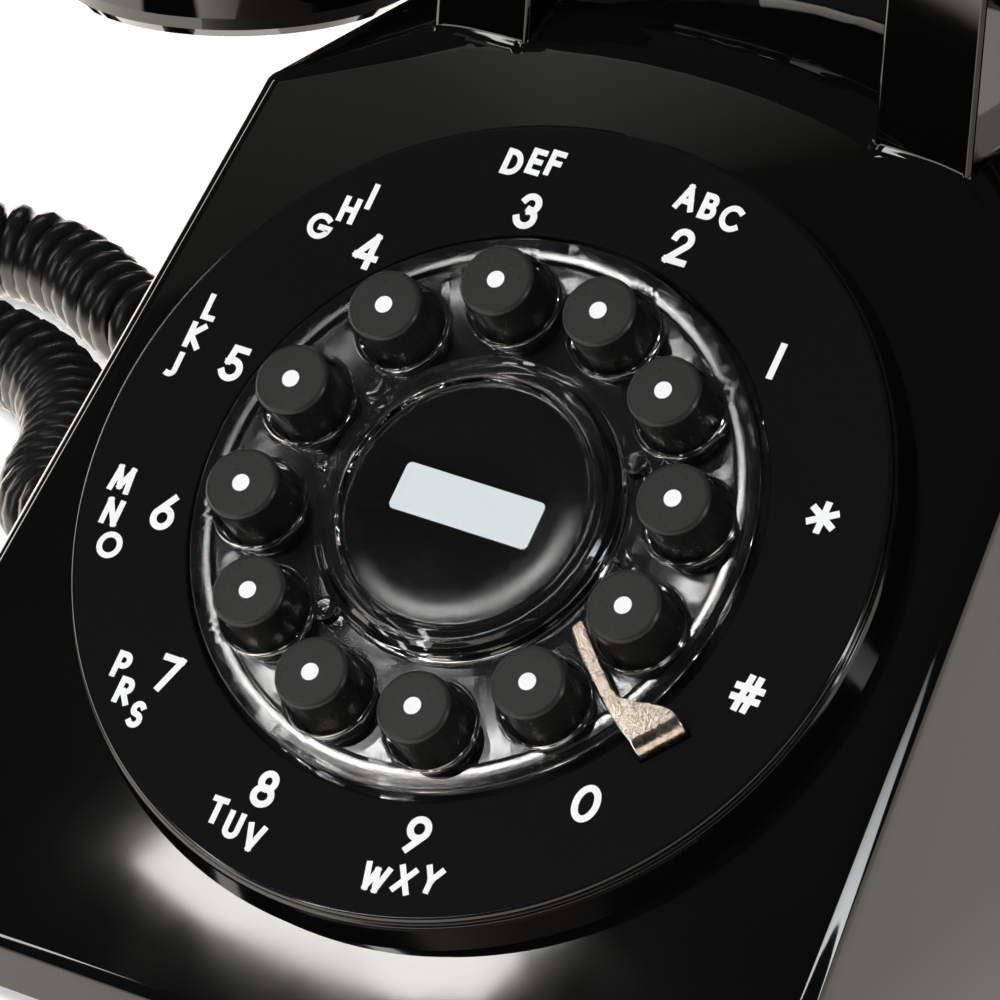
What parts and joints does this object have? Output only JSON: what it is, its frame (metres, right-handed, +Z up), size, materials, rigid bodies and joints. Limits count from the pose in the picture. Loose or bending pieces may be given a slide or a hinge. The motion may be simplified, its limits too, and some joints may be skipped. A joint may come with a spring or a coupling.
{
  "type": "desk telephone",
  "caption": "Black desk telephone with push keys in a fixed, dial-style clear wheel, a handset resting in a pronged cradle and a coiled cord.",
  "frame": {"origin": "on the table, under the middle of the telephone without its cord", "axes": "+Z up, -Y towards the user, +X to the user's right along the handset"},
  "size_m": [0.3358, 0.2144, 0.1427],
  "materials": {
    "black_gloss": "polished moulding",
    "dark_matte": "fine matt moulding",
    "rubber": "soft matt",
    "grey_rubber": "soft matt",
    "steel": "bright zinc",
    "clear": "clear polished acrylic",
    "white_card": "blank card",
    "nickel": "warm nickel plate",
    "board_green": "solder-masked laminate",
    "zinc_metal": "zinc-plated sheet",
    "aluminium": "satin",
    "cord_black": "glossy flexible vinyl",
    "plug_dark": "smoky moulding",
    "key_black": "semi-gloss moulding"
  },
  "bodies": {
    "base": {"housing": "black_gloss", "base_plate": "dark_matte", "rubber_feet": "rubber", "base_screws": "steel", "number_plate": "black_gloss", "finger_wheel": "clear", "centre_disc": "black_gloss", "number_card": "white_card", "card_lens": "clear", "finger_stop": "nickel", "key_mat": "grey_rubber", "keypad_board": "board_green", "keypad_screws": "steel", "main_board": "board_green", "main_board_screws": "steel", "line_jack": "dark_matte", "handset_jack": "dark_matte", "ringer_switch": "steel", "tone_switch": "steel", "hook_bracket": "zinc_metal", "bracket_screws": "steel", "hook_spring": "steel", "hook_switch": "dark_matte", "ringer": "dark_matte", "handset_cord": "cord_black", "base_plug": "plug_dark"},
    "handset": {"handset_handle": "black_gloss", "ear_cap": "black_gloss", "mouth_cap": "black_gloss", "receiver": "aluminium", "microphone": "aluminium", "handset_socket": "dark_matte", "handset_plug": "plug_dark"},
    "hook": {"hook_bar": "dark_matte"},
    "key_1": {"key_1": "key_black"},
    "key_2": {"key_2": "key_black"},
    "key_3": {"key_3": "key_black"},
    "key_4": {"key_4": "key_black"},
    "key_5": {"key_5": "key_black"},
    "key_6": {"key_6": "key_black"},
    "key_7": {"key_7": "key_black"},
    "key_8": {"key_8": "key_black"},
    "key_9": {"key_9": "key_black"},
    "key_0": {"key_0": "key_black"},
    "key_hash": {"key_hash": "key_black"},
    "key_star": {"key_star": "key_black"},
    "ringer_knob": {"ringer_knob": "dark_matte"},
    "tone_knob": {"tone_knob": "dark_matte"}
  },
  "joints": [
    {"name": "handset_lift", "type": "slide", "parent": "base", "child": "handset", "axis": [0, 0, 1], "range_m": [0, 0.06]},
    {"name": "hook_slide", "type": "slide", "parent": "base", "child": "hook", "axis": [0, 0, 1], "range_m": [0, 0.004], "stiffness_N_per_m": 100, "springref_m": 0.006, "deforming": ["hook_spring"]},
    {"name": "key_1_press", "type": "slide", "parent": "base", "child": "key_1", "axis": [0, 0.7071, -0.7071], "range_m": [0, 0.0015], "stiffness_N_per_m": 400},
    {"name": "key_2_press", "type": "slide", "parent": "base", "child": "key_2", "axis": [0, 0.7071, -0.7071], "range_m": [0, 0.0015], "stiffness_N_per_m": 400},
    {"name": "key_3_press", "type": "slide", "parent": "base", "child": "key_3", "axis": [0, 0.7071, -0.7071], "range_m": [0, 0.0015], "stiffness_N_per_m": 400},
    {"name": "key_4_press", "type": "slide", "parent": "base", "child": "key_4", "axis": [0, 0.7071, -0.7071], "range_m": [0, 0.0015], "stiffness_N_per_m": 400},
    {"name": "key_5_press", "type": "slide", "parent": "base", "child": "key_5", "axis": [0, 0.7071, -0.7071], "range_m": [0, 0.0015], "stiffness_N_per_m": 400},
    {"name": "key_6_press", "type": "slide", "parent": "base", "child": "key_6", "axis": [0, 0.7071, -0.7071], "range_m": [0, 0.0015], "stiffness_N_per_m": 400},
    {"name": "key_7_press", "type": "slide", "parent": "base", "child": "key_7", "axis": [0, 0.7071, -0.7071], "range_m": [0, 0.0015], "stiffness_N_per_m": 400},
    {"name": "key_8_press", "type": "slide", "parent": "base", "child": "key_8", "axis": [0, 0.7071, -0.7071], "range_m": [0, 0.0015], "stiffness_N_per_m": 400},
    {"name": "key_9_press", "type": "slide", "parent": "base", "child": "key_9", "axis": [0, 0.7071, -0.7071], "range_m": [0, 0.0015], "stiffness_N_per_m": 400},
    {"name": "key_0_press", "type": "slide", "parent": "base", "child": "key_0", "axis": [0, 0.7071, -0.7071], "range_m": [0, 0.0015], "stiffness_N_per_m": 400},
    {"name": "key_hash_press", "type": "slide", "parent": "base", "child": "key_hash", "axis": [0, 0.7071, -0.7071], "range_m": [0, 0.0015], "stiffness_N_per_m": 400},
    {"name": "key_star_press", "type": "slide", "parent": "base", "child": "key_star", "axis": [0, 0.7071, -0.7071], "range_m": [0, 0.0015], "stiffness_N_per_m": 400},
    {"name": "ringer_slide", "type": "slide", "parent": "base", "child": "ringer_knob", "axis": [1, 0, 0], "range_m": [0, 0.004]},
    {"name": "tone_slide", "type": "slide", "parent": "base", "child": "tone_knob", "axis": [1, 0, 0], "range_m": [0, 0.004]}
  ],
  "couplings": [
    {"joint": "hook_slide", "follows": "handset_lift", "ratio": 0.066667}
  ]
}
